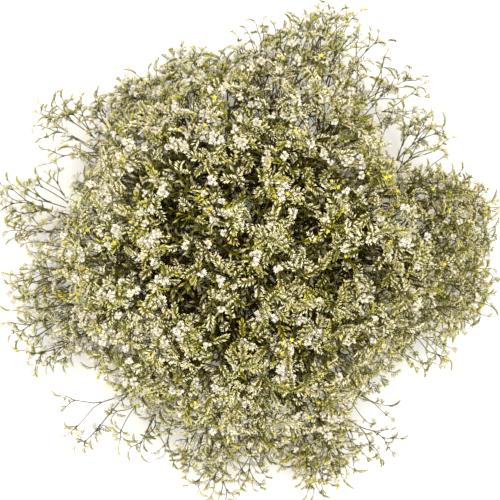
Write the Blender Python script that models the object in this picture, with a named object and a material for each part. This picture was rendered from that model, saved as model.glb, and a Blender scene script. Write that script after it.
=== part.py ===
"""Dried statice: a spiral-tied bunch of branched sprays that stands on its own cut stem ends.

Nineteen sprays cross in a twine tie. Above it each stem bends out into its own cone of the round
head, and opens there into a twiggy core, from which stalks with papery, funnel-shaped flowers
stand out. Lengths are in millimetres and angles in degrees until a finished shape is placed. The
origin is the middle of the cut ends, on the surface that the bunch stands on.
"""

import math
import random

import bmesh
import bpy
import numpy as np
from mathutils import Matrix, Vector

METRES = 0.001
SLIVER = 0.004
UP = Vector((0, 0, 1))
SEED = 1907

# The stems: one in the middle and two rings round it, as (number, tilt of their sprays, first azimuth)
STEM_RINGS = ((1, 0, 0), (6, 38, 11), (12, 78, 26))
STEM_RADIUS = 1.6
STEM_GAP = 0.35
STEM_SIDES = 6
LEAN = 28
TIE_HEIGHT = 95
FAN_CENTRE = Vector((0, 0, TIE_HEIGHT))
BEND_START = 30
BEND_END = 110
BEND_STEPS = (50, 70, 90)
STEM_END_RADIUS = 1.2

# The head, as reach from the fan centre: straight up, and round its edge by azimuth
TOP_REACH = 255
EDGE_REACH = (
    (0, 235), (15, 240), (25, 224), (41, 184), (50, 216), (60, 240), (70, 244), (80, 221),
    (90, 226), (103, 208), (120, 212), (132, 214), (146, 208), (158, 197), (168, 226), (182, 222),
    (200, 240), (208, 236), (218, 204), (230, 212), (242, 216), (251, 204), (262, 242), (275, 236),
    (286, 246), (297, 236), (305, 218), (314, 198), (326, 206), (335, 222), (346, 242), (360, 235),
)
EDGE_STARTS_AT = 35
EDGE_FULL_AT = 75
UNDERSIDE_FROM = 92
LOWEST_TILT = 106
UNDERSIDE_SHARE = 0.80

# The twiggy core of a spray, and the flowers that stand out of it
CORE_POINTS = 8
CORE_SHARE = 0.68
CORE_FOOT = 98
CORE_SPREAD = 0.3
CORE_KEEP_OFF = 1.5
CORE_HOLLOWS = 0.55
FLOWERS = 420
FLOWER_SIDES = 4
FLOWER_RADIUS = 15
FLOWER_DEPTH = 7.0
FLOWER_REACH = 0.94
FRINGE_REACH = 0.80
INNER_FLOWERS = 120
INNER_SIDES = 3
INNER_RADIUS = 12
INNER_LESS = 0.10
NECK_SHARE = 0.64
NECK_RADIUS = 1.4
ROOT_RADIUS = 1.2
ROOT_SHARE = 0.06
CROWN_BIAS = 1.2
JITTER = 0.35
TRIES = 25
FLOWER_GAP = 0.4
CROWD_FROM = 0.45
CROWD_BALLS = 8

# Thin twigs that stand out of the head's edge, as (azimuth, reach, tilt), each ending in spikes of buds
WISPS = (
    (12, 251, 82), (24, 243, 80), (33, 240, 76), (50, 237, 78), (59, 261, 80), (68, 267, 80),
    (88, 240, 80), (107, 216, 82), (122, 219, 80), (137, 224, 80), (146, 262, 84), (152, 246, 82),
    (167, 261, 84), (175, 246, 86), (200, 258, 84), (209, 248, 88), (229, 271, 94), (240, 244, 94),
    (258, 252, 86), (265, 262, 86), (287, 257, 84), (296, 250, 84), (306, 255, 86), (332, 238, 86),
    (348, 250, 84), (356, 250, 82),
)
TWIG_RADIUS = 0.9
SPIKE_LENGTH = 26
SPIKE_RADIUS = 3.2
SPIKE_BELLY = 0.4
SPIKE_END_RADIUS = 0.5
FORK_BACK = 12
FORK_LEAN = 0.6
FORK_STALK = 0.2

# The tie: turns of twine round the crossing stems, a knot and two cut ends
TWINE_RADIUS = 1.1
TWINE_TURNS = 3
TIE_GAP = 0.45
TIE_STEPS = 18
BAND_EDGE = 0.25
KNOT_SHAPE = (3.6, 2.4, 2.7)
TAIL_BEND = (10, -3, -8)
TAIL_END = (12, -4, -20)
TAIL_SIDES = 5

STRAW_GREEN = (0.42, 0.44, 0.20)
PAPER_WHITE = (0.78, 0.75, 0.60)
JUTE = (0.50, 0.36, 0.19)


def smooth(share):
    """A share from 0 to 1, eased at both ends."""
    share = min(1.0, max(0.0, share))
    return share * share * (3 - 2 * share)


def between(table, x):
    """The value at x of a table of (place, value), eased from one entry to the next."""
    for (x0, y0), (x1, y1) in zip(table, table[1:]):
        if x <= x1:
            return y0 + (y1 - y0) * smooth((x - x0) / (x1 - x0))
    return table[-1][1]


def direction(tilt, azimuth):
    """The unit vector that leans by tilt from straight up, towards azimuth."""
    lean, turn = math.radians(tilt), math.radians(azimuth)
    return Vector((math.sin(lean) * math.cos(turn), math.sin(lean) * math.sin(turn), math.cos(lean)))


def tilt_of(vector):
    return math.degrees(vector.angle(UP))


def azimuth_of(vector):
    return math.degrees(math.atan2(vector.y, vector.x)) % 360


def head_reach(heading):
    """How far the head's surface lies from the fan centre in a direction."""
    tilt = tilt_of(heading)
    edge = between(EDGE_REACH, azimuth_of(heading))
    edge_share = smooth((tilt - EDGE_STARTS_AT) / (EDGE_FULL_AT - EDGE_STARTS_AT))
    under = smooth((tilt - UNDERSIDE_FROM) / (LOWEST_TILT - UNDERSIDE_FROM))
    reach = TOP_REACH + (edge - TOP_REACH) * edge_share
    return reach * (1 - (1 - UNDERSIDE_SHARE) * under)


class Spray:
    """One stem with everything that grows on it. Its heading is the middle of its cone of the head."""

    def __init__(self, number, heading, ring_radius):
        self.number = number
        self.heading = heading
        self.ring_radius = ring_radius
        self.random = random.Random(SEED + number)
        self.stem = []
        self.core = []
        self.flowers = []
        self.twigs = []


def outer_ring():
    """The radius of the outer ring of stems inside the tie, where they lean and lie a small gap apart."""
    chord = 2 * STEM_RADIUS / math.cos(math.radians(LEAN)) + STEM_GAP
    return chord / (2 * math.sin(math.pi / STEM_RINGS[-1][0]))


RING_RADII = (0, outer_ring() / 2, outer_ring())
TWIST = math.tan(math.radians(LEAN)) / outer_ring()


def make_sprays():
    """The nineteen sprays, numbered from the middle outwards."""
    sprays = []
    for ring_radius, (count, tilt, first) in zip(RING_RADII, STEM_RINGS):
        for place in range(count):
            heading = direction(tilt, first + 360 * place / count)
            sprays.append(Spray(len(sprays) + 1, heading, ring_radius))
    return sprays


def room(point, spray, sprays):
    """Distance from a point to the nearest side of a spray's own cone, negative outside it."""
    arm = point - FAN_CENTRE
    return min(
        arm.dot((spray.heading - other.heading).normalized()) for other in sprays if other is not spray
    )


def crossing_point(spray, reach):
    """(tilt, azimuth turned since the tie) of the straight leaning stem at a reach from the fan centre."""
    ring = spray.ring_radius
    height = math.sqrt((reach**2 - ring**2) / (1 + (TWIST * ring) ** 2))
    return math.degrees(math.acos(height / reach)), math.degrees(math.atan(TWIST * height))


def stem_point(spray, reach):
    """A point of the stem above the tie, at a distance from the fan centre."""
    tilt, turned = crossing_point(spray, reach)
    end_tilt, end_turned = crossing_point(spray, BEND_END)
    share = smooth((reach - BEND_START) / (BEND_END - BEND_START))
    tilt += (tilt_of(spray.heading) - end_tilt) * share
    if reach >= BEND_END:
        return FAN_CENTRE + spray.heading * reach
    return FAN_CENTRE + direction(tilt, azimuth_of(spray.heading) + turned - end_turned) * reach


def cut_end(spray):
    """Where the stem meets the surface, straight down the line on which it crosses the tie."""
    start = stem_point(spray, BEND_START)
    _, end_turned = crossing_point(spray, BEND_END)
    at_tie = direction(90, azimuth_of(spray.heading) - end_turned) * spray.ring_radius + FAN_CENTRE
    slope = (start - at_tie) / (start.z - at_tie.z)
    return at_tie - slope * TIE_HEIGHT


def grow_stem(spray):
    """The stem, from its cut end through the tie to the heart of the core."""
    spray.stem = [(cut_end(spray), STEM_RADIUS)]
    for reach in (BEND_START, *BEND_STEPS, BEND_END):
        worn = smooth((reach - BEND_START) / (BEND_END - BEND_START))
        spray.stem.append((stem_point(spray, reach), STEM_RADIUS + (STEM_END_RADIUS - STEM_RADIUS) * worn))
    spray.stem.append((heart(spray), STEM_END_RADIUS))


def grow_core(spray, sprays):
    """The corners of the core: its foot on the stem, the rest spread under the head's surface."""
    points = []
    while len(points) < CORE_POINTS:
        best, best_gap = None, -1.0
        for _ in range(TRIES):
            heading = Vector([spray.random.gauss(0, CORE_SPREAD) for _ in range(3)]) + spray.heading
            point = FAN_CENTRE + heading.normalized() * head_reach(heading) * CORE_SHARE
            gap = min([(point - other).length for other in points], default=1000)
            inside = room(point, spray, sprays) > CORE_KEEP_OFF and tilt_of(heading) < LOWEST_TILT
            if inside and gap > best_gap:
                best, best_gap = point, gap
        if best:
            points.append(best)
    spray.core = [stem_point(spray, CORE_FOOT), *points]


def heart(spray):
    """The middle of a spray's core."""
    return sum(spray.core, Vector()) / len(spray.core)


def nearest_spray(sprays, heading):
    return max(sprays, key=lambda spray: spray.heading.dot(heading))


def root_inside(spray, tip):
    """Where a flower or a twig starts, close to the heart of the core."""
    return heart(spray).lerp(tip, ROOT_SHARE)


def flower_profile(radius):
    """(share of the way from root to rim, radius) of a flower: a thin stalk, then a funnel."""
    return ((0, ROOT_RADIUS), (NECK_SHARE, NECK_RADIUS), (1, radius))


class Crowd:
    """Balls that fill the outer parts of what has grown, to keep new flowers clear of it."""

    def __init__(self):
        self.centres = np.empty((0, 3))
        self.radii = np.empty(0)

    def balls(self, root, tip, radius):
        shares = np.linspace(CROWD_FROM, 1, CROWD_BALLS)
        profile = flower_profile(radius)
        radii = np.interp(shares, [share for share, _ in profile], [size for _, size in profile])
        return np.outer(1 - shares, root) + np.outer(shares, tip), radii

    def clear(self, root, tip, radius):
        centres, radii = self.balls(root, tip, radius)
        gaps = np.linalg.norm(self.centres[:, None] - centres[None], axis=2)
        return bool(np.all(gaps > self.radii[:, None] + radii[None] + FLOWER_GAP))

    def add(self, root, tip, radius):
        centres, radii = self.balls(root, tip, radius)
        self.centres = np.vstack((self.centres, centres))
        self.radii = np.append(self.radii, radii)


def even_headings(count):
    """Directions spread over the head from straight up to its lowest edge, a little closer at the crown."""
    golden_turn = 180 * (3 - math.sqrt(5))
    lowest = math.cos(math.radians(LOWEST_TILT))
    for place in range(count):
        share = ((place + 0.5) / count) ** CROWN_BIAS
        tilt = math.degrees(math.acos(1 - (1 - lowest) * share))
        yield direction(tilt, golden_turn * place)


def shortest_share(heading):
    """The least share of the head's reach that a flower has: nearly all on top, less in the fringe."""
    shares = ((EDGE_STARTS_AT, FLOWER_REACH), (EDGE_FULL_AT, FRINGE_REACH))
    return between(shares, max(EDGE_STARTS_AT, tilt_of(heading)))


def grow_flowers(sprays, crowd, count, sides, radius, less):
    """Flowers spread over the whole head, each on the spray whose heading lies nearest."""
    draw = random.Random(SEED + count)
    spacing = math.sqrt(2 * math.pi * (1 - math.cos(math.radians(LOWEST_TILT))) / count)
    for even in even_headings(count):
        for _ in range(TRIES):
            aside = Vector([draw.uniform(-1, 1) for _ in range(3)]) * spacing * JITTER
            heading = (even + aside).normalized()
            spray = nearest_spray(sprays, heading)
            share = draw.uniform(shortest_share(heading), 1) - less
            tip = FAN_CENTRE + heading * head_reach(heading) * share
            root = root_inside(spray, tip)
            if tilt_of(heading) < LOWEST_TILT and crowd.clear(root, tip, radius):
                crowd.add(root, tip, radius)
                spray.flowers.append((root, tip, radius, sides))
                break


def grow_wisps(sprays, crowd):
    """Twigs with a spike of buds, each on the spray whose cone it lies in."""
    for azimuth, reach, tilt in WISPS:
        heading = direction(tilt, azimuth)
        tip = FAN_CENTRE + heading * reach
        spray = nearest_spray(sprays, heading)
        root = root_inside(spray, tip)
        along = (tip - root).normalized()
        knee = tip - along * SPIKE_LENGTH
        fork = knee - along * FORK_BACK
        fork_way = (along + along.cross(UP).normalized() * FORK_LEAN).normalized()
        fork_tip = fork + fork_way * SPIKE_LENGTH
        spray.twigs += [(root, knee, tip), (fork, fork.lerp(fork_tip, FORK_STALK), fork_tip)]
        crowd.add(root, tip, SPIKE_RADIUS)
        crowd.add(fork, fork_tip, SPIKE_RADIUS)


def frame_at(centre, way, radius, turn):
    """The matrix that places a unit ring at a centre, square to a way, with a radius."""
    facing = UP.rotation_difference(way).to_matrix().to_4x4()
    return Matrix.Translation(centre) @ facing @ Matrix.Rotation(turn, 4, "Z") @ Matrix.Scale(radius, 4)


def limb(stations, sides, turn=0.0, dish=0.0):
    """A closed limb through stations of (centre, way, radius). A dish sinks the middle of its end."""
    shape = bmesh.new()
    bmesh.ops.create_cone(shape, cap_ends=True, segments=sides, radius1=1, radius2=1, depth=1)
    root, end = sorted(
        (face for face in shape.faces if abs(face.normal.z) > 0.5), key=lambda face: face.normal.z
    )
    frames = [frame_at(*station, turn) for station in stations]
    flatten = Matrix.Diagonal((1, 1, 0, 1))
    bmesh.ops.transform(shape, matrix=frames[0] @ flatten, verts=root.verts)
    bmesh.ops.transform(shape, matrix=frames[1] @ flatten, verts=end.verts)
    for before, after in zip(frames[1:], frames[2:]):
        end = bmesh.ops.extrude_discrete_faces(shape, faces=[end])["faces"][0]
        bmesh.ops.transform(shape, matrix=after @ before.inverted(), verts=end.verts)
    if dish:
        middle = bmesh.ops.poke(shape, faces=[end])["verts"][0]
        middle.co -= stations[-1][1] * dish
    bmesh.ops.recalc_face_normals(shape, faces=shape.faces)
    return shape


def way_stations(path):
    """Stations of (centre, way, radius) for a path of (point, radius), each ring square to its bend."""
    points = [point for point, _ in path]
    ways = []
    for before, here, after in zip([points[0], *points], points, [*points[1:], points[-1]]):
        ways.append(((here - before).normalized() + (after - here).normalized()).normalized())
    return [(point, way, radius) for (point, radius), way in zip(path, ways)]


def stem_shape(spray):
    """The stem, whose first ring lies flat so that its cut end rests on the surface."""
    stations = way_stations(spray.stem)
    stations[0] = (stations[0][0], UP, STEM_RADIUS)
    return limb(stations, STEM_SIDES)


def core_shape(spray):
    """The core that the twigs of one spray fill: ridges between its corners, hollows inside them."""
    shape = bmesh.new()
    for point in spray.core:
        shape.verts.new(point)
    bmesh.ops.convex_hull(shape, input=shape.verts)
    inside = [vert for vert in shape.verts if not vert.link_faces]
    bmesh.ops.delete(shape, geom=inside, context="VERTS")
    foot = min(shape.verts, key=lambda vert: (vert.co - spray.core[0]).length)
    outer = [face for face in shape.faces if foot not in face.verts]
    for vert in bmesh.ops.poke(shape, faces=outer)["verts"]:
        vert.co = vert.co.lerp(heart(spray), CORE_HOLLOWS)
    bmesh.ops.recalc_face_normals(shape, faces=shape.faces)
    return shape


def flower_shape(spray, root, tip, radius, sides):
    """A thin stalk that flares into a papery funnel with a dished rim and a few corners."""
    way = (tip - root).normalized()
    facing = (way + (tip - FAN_CENTRE).normalized()).normalized()
    rings = flower_profile(radius)
    stations = [(root.lerp(tip, share), facing if share == 1 else way, size) for share, size in rings]
    return limb(stations, sides, spray.random.uniform(0, math.tau), FLOWER_DEPTH)


def twig_shape(root, knee, tip):
    """A thin twig that swells into a slim spike of closed buds."""
    way = (tip - knee).normalized()
    belly = knee.lerp(tip, SPIKE_BELLY)
    path = ((root, TWIG_RADIUS), (knee, TWIG_RADIUS), (belly, SPIKE_RADIUS), (tip, SPIKE_END_RADIUS))
    return limb([(point, way, radius) for point, radius in path], 3)


def new_object(name, shape, collection, finish):
    mesh = bpy.data.meshes.new(name)
    shape.to_mesh(mesh)
    shape.free()
    mesh.materials.append(finish)
    piece = bpy.data.objects.new(name, mesh)
    collection.objects.link(piece)
    return piece


def largest_shell(shape):
    """The faces of the largest of the closed shells in a shape."""
    waiting = set(shape.faces)
    largest = set()
    while waiting:
        shell = [waiting.pop()]
        for face in shell:
            neighbours = {other for edge in face.edges for other in edge.link_faces} & waiting
            waiting -= neighbours
            shell.extend(neighbours)
        if len(shell) > len(largest):
            largest = set(shell)
    return largest


def finish_union(mesh):
    """Fill the hollows that fusing sealed, drop loose scraps, and say whether the skin is sound."""
    shape = bmesh.new()
    shape.from_mesh(mesh)
    kept = largest_shell(shape)
    bmesh.ops.delete(shape, geom=[face for face in shape.faces if face not in kept], context="FACES")
    bmesh.ops.triangulate(shape, faces=shape.faces)
    bmesh.ops.dissolve_degenerate(shape, dist=SLIVER, edges=shape.edges)
    bmesh.ops.triangulate(shape, faces=shape.faces)
    touching = bmesh.ops.find_doubles(shape, verts=shape.verts, dist=SLIVER)["targetmap"]
    sound = not touching and all(len(edge.link_faces) == 2 for edge in shape.edges)
    shape.to_mesh(mesh)
    shape.free()
    return sound


def fused(name, body, body_finish, additions):
    """One closed solid: the body joined with additions of (shape, finish). None if its skin is unsound."""
    solid = new_object(name, body, bpy.context.scene.collection, body_finish)
    grown = bpy.data.collections.new(name + "_additions")
    bpy.context.scene.collection.children.link(grown)
    for place, (shape, finish) in enumerate(additions):
        new_object(f"{name}_{place}", shape, grown, finish)
    union = solid.modifiers.new("union", "BOOLEAN")
    union.operation = "UNION"
    union.operand_type = "COLLECTION"
    union.collection = grown
    union.solver = "MANIFOLD"
    union.material_mode = "TRANSFER"
    bpy.context.view_layer.objects.active = solid
    bpy.ops.object.modifier_apply(modifier=union.name)
    for piece in list(grown.objects):
        bpy.data.objects.remove(piece)
    bpy.data.collections.remove(grown)
    if not finish_union(solid.data):
        bpy.data.objects.remove(solid)
        return None
    solid.data.transform(Matrix.Scale(METRES, 4))
    return solid


def material(name, colour, roughness):
    made = bpy.data.materials.new(name)
    made.use_nodes = True
    shader = made.node_tree.nodes["Principled BSDF"]
    shader.inputs["Base Color"].default_value = (*colour, 1)
    shader.inputs["Roughness"].default_value = roughness
    return made


def spray_solid(spray, green, paper):
    """One spray. Its flowers are turned on their stalks anew until the union leaves a sound skin."""
    for _ in range(TRIES):
        additions = [(core_shape(spray), green)]
        additions += [(flower_shape(spray, *flower), paper) for flower in spray.flowers]
        additions += [(twig_shape(*twig), green) for twig in spray.twigs]
        if fused(f"spray_{spray.number:02d}", stem_shape(spray), green, additions):
            return
    raise RuntimeError(f"spray {spray.number} could not be fused")


def tie_radius(height):
    """The radius just outside the crossing stems, at a height above or below the middle of the tie."""
    return RING_RADII[-1] * math.hypot(1, TWIST * height) + STEM_RADIUS + TIE_GAP


def tie_shape():
    """A band of twine turns, waisted like the crossing stems inside it."""
    shape = bmesh.new()
    half = TWINE_TURNS * TWINE_RADIUS
    profile = []
    for turn in range(TWINE_TURNS):
        middle = -half + (2 * turn + 1) * TWINE_RADIUS
        for share, out in ((-1, BAND_EDGE), (-0.5, math.sqrt(0.75)), (0.5, math.sqrt(0.75))):
            height = middle + share * TWINE_RADIUS
            profile.append((tie_radius(height) + TWINE_RADIUS * (1 + out), height))
    profile.append((tie_radius(half) + TWINE_RADIUS * (1 + BAND_EDGE), half))
    profile += [(tie_radius(height), height) for height in (half, 0, -half)]
    corners = [shape.verts.new((radius, 0, TIE_HEIGHT + height)) for radius, height in profile]
    section = shape.faces.new(corners)
    bmesh.ops.spin(
        shape, geom=[section, *section.edges, *section.verts], cent=(0, 0, 0), axis=UP,
        angle=math.tau, steps=TIE_STEPS, use_merge=True,
    )
    bmesh.ops.remove_doubles(shape, verts=shape.verts, dist=0.001)
    inner = [face for face in shape.faces if len(face.verts) > 4]
    bmesh.ops.delete(shape, geom=inner, context="FACES_ONLY")
    bmesh.ops.recalc_face_normals(shape, faces=shape.faces)
    return shape


def tie_solid(finish):
    out = tie_radius(0) + 2 * TWINE_RADIUS
    knot_centre = Vector((0, -out, TIE_HEIGHT))
    knot = bmesh.new()
    bmesh.ops.create_icosphere(knot, subdivisions=2, radius=1)
    bmesh.ops.scale(knot, vec=KNOT_SHAPE, verts=knot.verts)
    bmesh.ops.translate(knot, vec=knot_centre, verts=knot.verts)
    tails = []
    for side in (-1, 1):
        mirror = Matrix.Diagonal((side, 1, 1))
        points = [knot_centre + mirror @ Vector(offset) for offset in ((0, 0, 0), TAIL_BEND, TAIL_END)]
        path = [(point, TWINE_RADIUS) for point in points]
        tails.append((limb(way_stations(path), TAIL_SIDES), finish))
    fused("twine_tie", tie_shape(), finish, [(knot, finish), *tails])


def clear_scene():
    for piece in list(bpy.data.objects):
        bpy.data.objects.remove(piece)


def grow_bunch():
    """All the sprays, fully grown."""
    sprays = make_sprays()
    for spray in sprays:
        grow_core(spray, sprays)
        grow_stem(spray)
    crowd = Crowd()
    grow_wisps(sprays, crowd)
    grow_flowers(sprays, crowd, FLOWERS, FLOWER_SIDES, FLOWER_RADIUS, 0)
    grow_flowers(sprays, crowd, INNER_FLOWERS, INNER_SIDES, INNER_RADIUS, INNER_LESS)
    return sprays


def main():
    clear_scene()
    sprays = grow_bunch()
    green = material("dried_stem", STRAW_GREEN, 0.75)
    paper = material("papery_flower", PAPER_WHITE, 0.8)
    for spray in sprays:
        spray_solid(spray, green, paper)
    tie_solid(material("jute_twine", JUTE, 0.9))


main()
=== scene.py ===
"""Dried statice: a tied bunch of forking flower stems that stands on its own cut ends.

Laid out as an add-on for Blender, and run as a script. It dresses the plain model of the bunch:
every spray gets its twigs, scale leaves and comb-like spikes of papery florets, and the tie is
wound from twine. Lengths are in metres. Angles are in degrees, but for those of properties.
"""

import random
from collections import namedtuple
from math import acos, atan, atan2, cos, degrees, hypot, log, pi, radians, sin, sqrt, tan, tau

import bpy
import numpy as np
from bpy.props import FloatProperty, FloatVectorProperty, IntProperty, PointerProperty
from bpy.types import Operator, Panel, PropertyGroup
from mathutils import Matrix, Vector
from mathutils.geometry import interpolate_bezier


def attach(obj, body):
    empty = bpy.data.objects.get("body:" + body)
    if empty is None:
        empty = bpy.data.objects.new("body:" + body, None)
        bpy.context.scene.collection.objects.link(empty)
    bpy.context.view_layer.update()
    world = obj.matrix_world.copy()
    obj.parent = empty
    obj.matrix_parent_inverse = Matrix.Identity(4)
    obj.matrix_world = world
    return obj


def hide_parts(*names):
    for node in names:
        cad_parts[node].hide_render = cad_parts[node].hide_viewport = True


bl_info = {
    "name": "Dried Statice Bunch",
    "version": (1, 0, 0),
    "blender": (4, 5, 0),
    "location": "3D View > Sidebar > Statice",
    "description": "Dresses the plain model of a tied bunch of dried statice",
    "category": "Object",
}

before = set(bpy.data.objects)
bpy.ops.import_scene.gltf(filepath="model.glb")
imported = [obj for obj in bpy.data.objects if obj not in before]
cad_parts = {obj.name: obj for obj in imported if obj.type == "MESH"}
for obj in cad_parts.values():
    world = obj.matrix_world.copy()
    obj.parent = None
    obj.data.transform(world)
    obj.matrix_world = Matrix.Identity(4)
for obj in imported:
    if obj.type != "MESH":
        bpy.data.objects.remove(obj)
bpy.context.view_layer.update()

MM = 0.001
UP = Vector((0, 0, 1))
SEED = 1907
GOLDEN_TURN = 180 * (3 - sqrt(5))
BODY = "root"
SCATTER = 0.6
WELD = 0.002 * MM
HAIR = 0.01 * MM
PARALLEL = 0.001

# The shares of the reach between which the painted shade deep inside the head gives way to the
# plant's own colour, how much lighter the crown is painted and from where, and the plant's shine
SHADE_RANGE = (0.42, 0.86)
CROWN_LIGHTER = 0.20
CROWN_FROM = 0.75
SHINE = 0.08

# Stems, as (number, tilt, first azimuth), and how far from the fan centre they bend and fork
STEM_RINGS = ((1, 0, 0), (6, 38, 11), (12, 78, 26))
BEND_START = 30 * MM
BEND_END = 110 * MM
FORK_FROM = 98 * MM
FORK_AIM = 4 * MM
# Below this height over the fan centre painted shade fades off the stems; they have none under the centre
STEM_LIT_TO = 50 * MM

# A stem's points: shares of its straight run, then millimetres from the fan centre
STEM_UNDER_FLOOR = 4 * MM
STEM_SHARES = (0, 0.08, 0.3, 0.55, 0.75, 0.9)
STEM_REACHES = (30, 40, 50, 60, 70, 80, 90, 98)
STEM_END = 0.9

# The head's edge, as (azimuth, reach from the fan centre in millimetres)
EDGE_REACH = (
    (0, 243), (10, 249), (16, 243), (24, 202), (39, 180), (50, 206), (60, 237), (70, 250),
    (80, 231), (90, 228), (105, 220), (120, 223), (130, 229), (143, 206), (157, 206), (168, 217),
    (182, 222), (200, 236), (208, 230), (218, 207), (230, 219), (241, 212), (251, 204), (262, 240),
    (275, 240), (286, 246), (295, 234), (303, 209), (312, 203), (323, 198), (335, 213), (346, 234),
    (360, 243),
)

# The tilts at which the edge starts and is full, and those of the smaller underside
EDGE_STARTS_AT = 35
EDGE_FULL_AT = 75
UNDERSIDE_FROM = 92
LOWEST_TILT = 106
UNDERSIDE_SHARE = 0.80

# Thin branches that stand out of the edge, as (azimuth, reach in millimetres, tilt)
WISPS = (
    (12, 257, 82), (19, 243, 80), (33, 240, 76), (50, 237, 78), (59, 265, 80), (68, 272, 80),
    (88, 240, 80), (107, 216, 82), (122, 219, 80), (137, 224, 80), (146, 262, 84), (164, 246, 84),
    (167, 266, 84), (175, 250, 86), (200, 260, 84), (209, 248, 88), (229, 271, 94), (240, 244, 94),
    (258, 252, 86), (265, 262, 86), (287, 257, 84), (296, 250, 84), (306, 255, 86), (332, 238, 86),
    (348, 256, 84), (356, 255, 82),
)

# The fringe of short branches, as (azimuth, fullness, longest reach in millimetres)
FRINGE = (
    (10, 16, 257), (30, 1, 248), (50, 4, 259), (70, 8, 267), (90, 1, 242), (110, 3, 224),
    (130, 3, 228), (150, 1, 254), (170, 1, 259), (190, 1, 258), (210, 3, 256), (230, 2, 258),
    (250, 2, 252), (270, 3, 256), (290, 6, 258), (330, 1, 248), (350, 10, 257),
)
FRINGE_STRAY = 8
FRINGE_REACH = (0.92, 1.0)
FRINGE_TILTS = (64, 94)

# How these branches curl, all one way where combed, and where their end tip and side tips lie, in
# millimetres from the point
WISP_CURL = 0.3
COMBED_FROM = 195
COMBED_TO = 250
COMBED_CURL = 0.55
WISP_END = 9
WISP_END_SPIKES = 4
SIDE_TIPS = 8
SIDE_BACK_STEP = 5.2
SIDE_BACK_PLAY = (-3, 3)
SIDE_OUT = 7
SIDE_OUT_STEP = 2.6
SIDE_OUT_PLAY = (-2, 5)
SIDE_LIFT = (-8, 10)
SIDE_LEAN = 0.75
SIDE_SPIKES = (2, 3, 4)

# The kinds of spike: the florets from foot to tip (b a closed bud, c a small cup, o a papery calyx,
# y a cup with petals), how far it arches and its florets stand off, its share of the full length, how
# white it is, whether its florets stand all round, and its odds on the head's outside and on wisps
Kind = namedtuple("Kind", "name florets arch splay size ripe round outer wisp")
SPIKES = (
    Kind("budding", "bbbbbbbbbbbbb", 50, 46, 0.9, 0.1, 0, 3.2, 1.5),
    Kind("combed", "bbbcbbbbbbbbb", 80, 54, 0.95, 0.3, 0, 3.4, 1),
    Kind("straight", "bcbbbcbbbbb", 25, 42, 0.9, 0.4, 0, 2.4, 0.5),
    Kind("opening", "cbccbcbcbb", 50, 54, 0.8, 0.6, 0, 3, 1),
    Kind("recurved", "bbbcbbbbbbbb", 125, 50, 0.9, 0.2, 0, 2, 1),
    Kind("papery", "oooooo", 20, 36, 0.32, 1, 1, 2.5, 0.8),
    Kind("yellow", "cycbybbbb", 50, 50, 0.8, 0.3, 0, 1, 0.4),
    Kind("packed", "bbbbbbbbbbbbbb", 52, 34, 0.95, 0, 0, 2, 2),
    Kind("tuft", "bbbbbbbbb", 45, 38, 0.55, 0.25, 0, 0, 9),
)
SHADED = Kind("shaded", "bbbbbb", 40, 50, 1, 0, 0, 0, 0)

# How white the head is midway, left and above
WHITE_MIDWAY = 0.5
WHITE_LEFT = 0.5
WHITE_ABOVE = 0.25

# Twigs: their least and most run as shares of the way to their tips, and how they bend
LEAST_RUN = 0.12
MOST_RUN = 0.75
SHORTEST_RUN = 5 * MM
TWIG_STRAY = 0.07
SWING_BACK = 0.15
LONG_RUN = 25 * MM

# By where a tip lies: its spikes' size, the turn and millimetres between them, what whiteness adds
# to the odds of papery ones, and the bends of its twig
Where = namedtuple("Where", "size turn step whiter bends")
PLACES = {
    "outer": Where(1, 137, 5.5, 4.5, 4),
    "wisp": Where(0.9, 180, 3.2, 1.5, 4),
    "inner": Where(2.2, 137, 5.5, 0, 2),
}

# How the last twig of a sprig tapers, and how its end spike and side spikes stand on it
STRAIGHT = 0.8
SPRIG_TAPER = (1.15, 0.8)
END_LEAN = (10, 35)
SPIKE_LEAN = (50, 88)
TURN_PLAY = 25
FIRST_BACK = 2
BACK_PLAY = 1.5
FARTHEST_BACK = 0.7
ROUND_LEAN = 0.5
UP_PLAY = 0.4
SIZE_PLAY = (0.75, 1.12)

# Clumps of sprigs. The way of a sprig is part outward, part astray and part upward.
CLUMP_SIZES = (2, 3, 3, 4, 5)
UNDERSIDE_KEPT = 0.6
CLUMP_SPREAD = 0.075
CLUMP_JITTER = 0.05
SPRIG_SPIKES = (2, 3, 3, 4)
OUTWARD = 0.4
ASTRAY = 0.9
UPWARD = 0.15
INNER_SPIKES = 2
INNER_ASTRAY = 0.6
INNER_BIAS = 1.1

# Thin places with more inner sprigs, as (azimuth, millimetres from the middle line)
THIN_PLACES = ((184, 120), (344, 146))
THIN_SPRIGS = 4
THIN_TILTS = (52, 80)
THIN_STRAY = 5

Tip = namedtuple("Tip", "place way spikes kind")

# Spikes: the steps of the arch and of its axis, and how the florets stand on it and near its tip
ARCH_STEPS = 24
ARCH_EASE = 1.2
WELL_ARCHED = 60
FINE_AXIS = 8
COARSE_AXIS = 12
FIRST_FLORET = 0.4
NEAR_TIP = 0.6
TIP_CLOSES = 0.6
TIP_SHRINKS = 0.25
ROW_PLAY = 0.2
ROUND_TURN = 1.2
FAN_PLAY = 0.12
FLORET_SIZES = (0.9, 1.12)

# Buds, and funnels: how hollow they are, and how far the folds between their lobes go in and down
BUD_SIDES = 3
BUD_SHOULDER = 0.62
PETAL_DEPTH = 1.2 * MM
NEAR_RIM = 0.9
Funnel = namedtuple("Funnel", "lobes hollow fold drop")
CUP = Funnel(3, 0.4, 0.7, 0.7 * MM)
CALYX = Funnel(5, 0.6, 0.66, 0.6 * MM)
PETALS = Funnel(5, 5 / 12, 0.45, 0)

SCALE_SIDES = 4
SCALE_RADIUS = 1.1 * MM
SCALE_SHOULDER = 1.6 * MM
SCALE_POINT = 3.4 * MM
SCALE_THICKNESS = 0.4
SCALE_LEAN = 0.5
SCALE_SIZE = 0.7
SCALE_GROWTH = 0.5

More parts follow.
